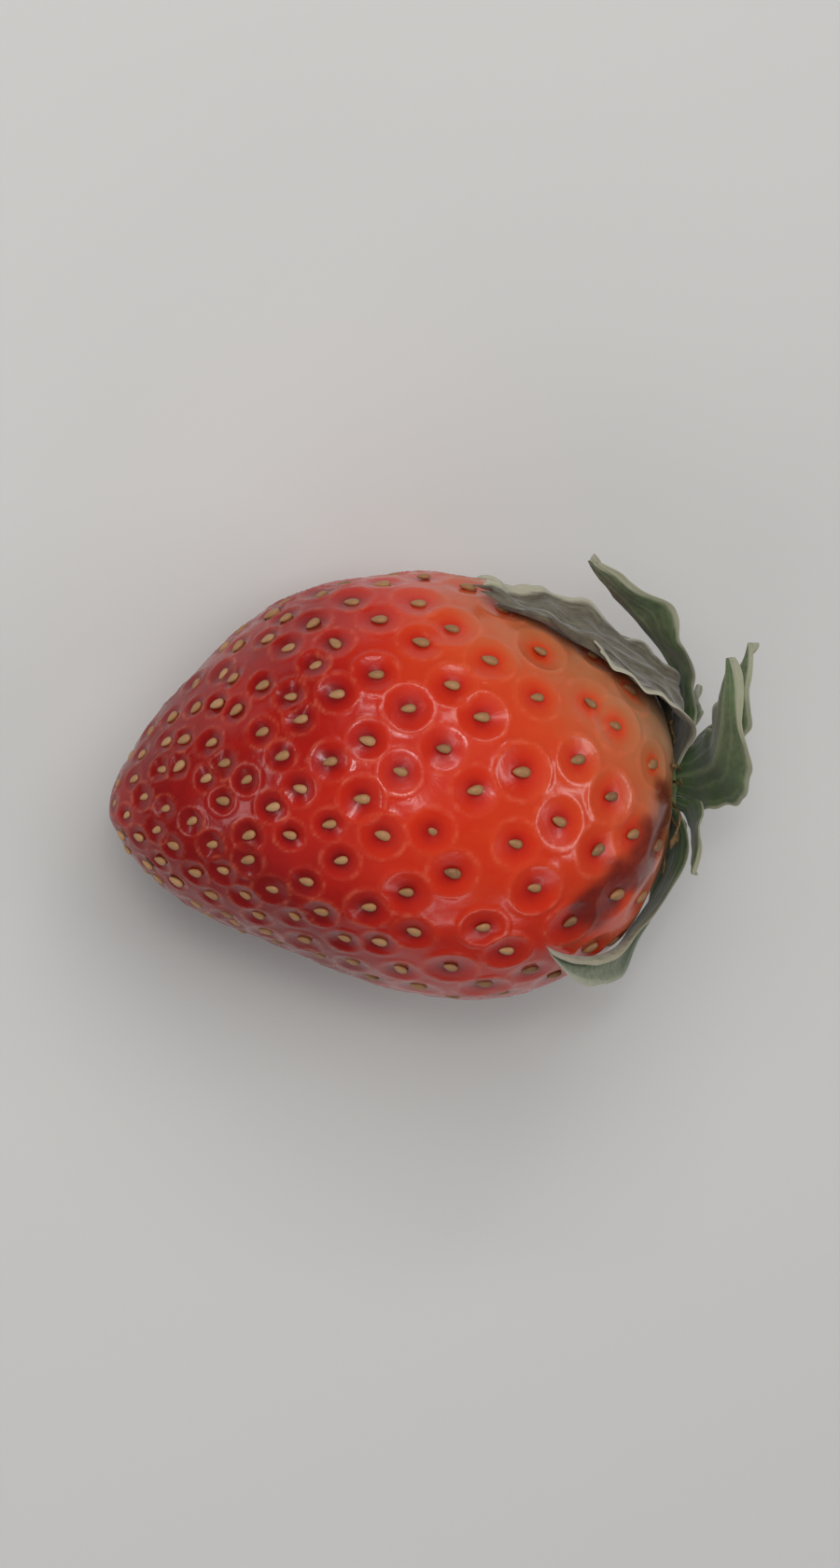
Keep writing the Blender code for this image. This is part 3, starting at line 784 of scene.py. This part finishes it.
stalk_at = np.linspace(0, 1, STALK_ROWS)[:, None]
stalk_turn = np.linspace(0, 2 * math.pi, STALK_COLUMNS, endpoint=False)[None, :]
frayed = 0.5 + 0.5 * np.sin(3 * stalk_turn + 0.5) * np.cos(5 * stalk_turn) + 0.25 * np.sin(13 * stalk_turn)
stalk_run = stalk_at * (1 - 0.07 * frayed * ease(0.6, 1.0, stalk_at))
stalk_r = STALK_RADIUS * (1 + (STALK_FLARE - 1) * (1 - stalk_run) ** 4)
stalk_r = stalk_r * (1 + 0.05 * np.cos(7 * stalk_turn) + 0.03 * np.sin(11 * stalk_turn + 1))
stalk_r = stalk_r * (1 - 0.22 * ease(0.9, 1.0, stalk_at) + 0.10 * ease(0.75, 0.95, stalk_at))
stalk_x = NECK[0] + DISC_THICKNESS + FIT_GAP - STALK_ROOT + stalk_run * (STALK_LENGTH + STALK_ROOT)
stalk_y = NECK[1] + stalk_r * np.sin(stalk_turn)
crushed = 1 - 0.18 * ease(0.7, 1.0, stalk_at)
stalk_z = NECK[2] - STALK_DROOP * stalk_run**2 + stalk_r * np.cos(stalk_turn) * crushed
stalk_rings = np.stack([stalk_x, stalk_y, stalk_z], -1)
stalk_end_points = stalk_rings[[0, -1]].mean(1)
stalk_end_points[1, 0] -= STALK_HOLLOW
stalk = shell("stalk_stub", stalk_rings, (), stalk_end_points)
stalk.data.materials.append(stalk_material)
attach(stalk, "root")
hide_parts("stalk")

# ---------------------------------------------------------------------------------------------------------
# Stamens: withered brown threads left from the flower. They lie on the fruit round the disc, under the
# leaves, and some still carry a shrivelled anther.
# ---------------------------------------------------------------------------------------------------------
STAMEN_COUNT, STAMEN_RADIUS, STAMEN_STANDOFF = 18, 0.00017, 0.00055
STAMEN_LENGTHS = (0.0034, 0.0046, 0.0029, 0.0040)
STAMEN_START, STAMEN_ROOT, STAMEN_SWAY = 0.0007, 0.0014, math.radians(7)
STAMEN_ROWS, STAMEN_COLUMNS = 28, 10

stamen_material, start = start_material("withered_stamen")
place = start.node("TexCoord", {}, {}, "Object")
shrivel = start.noise(place, 0.0003, 3.0, 0.6)
stamen_colour = shrivel.ease(0.3, 0.7).mix((0.05, 0.028, 0.012), (0.20, 0.125, 0.05))
stamen_bump = start.bump(shrivel, 0.6, 0.00008)
finish_material(
    stamen_material,
    {"Specular IOR Level": 0.3},
    {"Base Color": stamen_colour, "Roughness": 0.65 + shrivel * 0.2, "Normal": stamen_bump},
)


def stamen_surface(index):
    """Rings round a thread on the skin: its radius tapers, then swells as a Gaussian where the anther is."""
    angle = 2 * math.pi * index / STAMEN_COUNT
    length = STAMEN_LENGTHS[index % len(STAMEN_LENGTHS)]
    sway = STAMEN_SWAY * (-1) ** index
    at = np.linspace(0, 1, STAMEN_ROWS)
    free = ease(0.25, 0.6, at)
    wiggle = 0.05 * np.sin(at * 7 + index) * free
    standoff = STAMEN_STANDOFF + 0.00016 * np.sin(at * 9 + 2 * index) * free
    arc = neck_arc(angle) - STAMEN_START + STAMEN_ROOT - at * (length + STAMEN_ROOT)
    line = skin(arc, angle + sway * at + wiggle, standoff, SEAT)
    tangent = np.gradient(line, axis=0)
    tangent /= np.linalg.norm(tangent, axis=1)[:, None]
    side = np.cross(tangent, (0, math.sin(angle), math.cos(angle)))
    side /= np.linalg.norm(side, axis=1)[:, None]
    up = np.cross(side, tangent)
    turn = np.linspace(0, 2 * math.pi, STAMEN_COLUMNS, endpoint=False)[None, :, None]
    anther = np.exp(-(((at - 0.9) / 0.07) ** 2)) * (0.9 if index % 3 else 0.1)
    radius = STAMEN_RADIUS * (0.85 - 0.45 * at + anther) * np.sqrt(np.clip((1 - at) / 0.05, 0.02, 1))
    radius = radius[:, None, None]
    return line[:, None] + radius * (side[:, None] * np.cos(turn) * 1.25 + up[:, None] * np.sin(turn) * 0.85)


for index in range(STAMEN_COUNT):
    stamen = shell(f"withered_stamen_{index + 1:02d}", stamen_surface(index))
    stamen.data.materials.append(stamen_material)
    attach(stamen, "root")
    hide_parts(f"stamen_{index + 1:02d}")

# ---------------------------------------------------------------------------------------------------------
# Stage: a plain pale floor, studio lights and the camera, which looks down on the fruit with a long lens. The
# large panels light it softly, and the narrow lamps also show in its gloss.
# ---------------------------------------------------------------------------------------------------------
floor_mesh = bpy.data.meshes.new("floor")
FLOOR_HALF, FLOOR_DROP = 3, 0.00005  # the floor lies a hair under the fruit
floor_signs = ((-1, -1), (1, -1), (1, 1), (-1, 1))
floor_corners = [(FLOOR_HALF * x, FLOOR_HALF * y, -FLOOR_DROP) for x, y in floor_signs]
floor_mesh.from_pydata(floor_corners, [], [(0, 1, 2, 3)])
floor = bpy.data.objects.new("floor", floor_mesh)
bpy.context.scene.collection.objects.link(floor)
floor_material, _ = start_material("pale_floor")
finish_material(floor_material, {"Base Color": (0.60, 0.59, 0.57, 1), "Roughness": 0.8}, {})
floor_mesh.materials.append(floor_material)

CENTRE = (CAD_LOW + CAD_HIGH) / 2
LIGHTS = {
    # name: place from the centre, width, height, power, whether it shows in the gloss
    "key_panel": ((-0.04, 0.19, 0.42), 0.34, 0.34, 1.30, False),
    "small_lamp": ((-0.09, 0.13, 0.42), 0.07, 0.035, 0.17, True),
    "fill_panel": ((-0.30, -0.24, 0.30), 0.34, 0.34, 0.40, False),
    "right_lamp": ((0.34, 0.04, 0.31), 0.24, 0.055, 0.30, True),
    "back_lamp": ((-0.02, 0.34, 0.32), 0.30, 0.032, 0.26, True),
    "left_lamp": ((-0.38, 0.04, 0.20), 0.24, 0.028, 0.14, True),
    "front_lamp": ((0.06, -0.36, 0.22), 0.24, 0.03, 0.10, True),
}
for light_name, (offset, light_width, light_height, power, in_gloss) in LIGHTS.items():
    lamp = bpy.data.lights.new(light_name, "AREA")
    lamp.shape, lamp.size, lamp.size_y, lamp.energy = "RECTANGLE", light_width, light_height, power
    holder = bpy.data.objects.new(light_name, lamp)
    bpy.context.scene.collection.objects.link(holder)
    holder.location = CENTRE + Vector(offset)
    holder.visible_glossy = in_gloss
    holder.rotation_euler = (-Vector(offset)).to_track_quat("-Z", "Y").to_euler()

world = bpy.data.worlds.new("studio")
world.use_nodes = True
world.node_tree.nodes["Background"].inputs["Color"].default_value = (0.88, 0.93, 1.0, 1)
world.node_tree.nodes["Background"].inputs["Strength"].default_value = 0.11
bpy.context.scene.world = world
bpy.context.scene.view_settings.view_transform = "Standard"

CAMERA_DISTANCE, FRAME_WIDTH = 0.42, 0.069
CAMERA_TILT = math.radians(10)  # towards +Y from straight above
CAMERA_LEAN = math.radians(13)  # towards -X from straight above
camera_data = bpy.data.cameras.new("camera")
camera_data.sensor_width = 36
camera_data.lens = camera_data.sensor_width * 900 / 1680 * CAMERA_DISTANCE / FRAME_WIDTH
camera_data.clip_start, camera_data.clip_end = 0.01, 10
camera = bpy.data.objects.new("camera", camera_data)
bpy.context.scene.collection.objects.link(camera)
backward = Vector((-math.tan(CAMERA_LEAN), math.tan(CAMERA_TILT), 1)).normalized()
rightward = Vector((0, 1, 0)).cross(backward).normalized()
camera.matrix_world = Matrix.Translation(CENTRE + backward * CAMERA_DISTANCE) @ Matrix(
    (rightward, backward.cross(rightward), backward)
).transposed().to_4x4()
bpy.context.scene.camera = camera
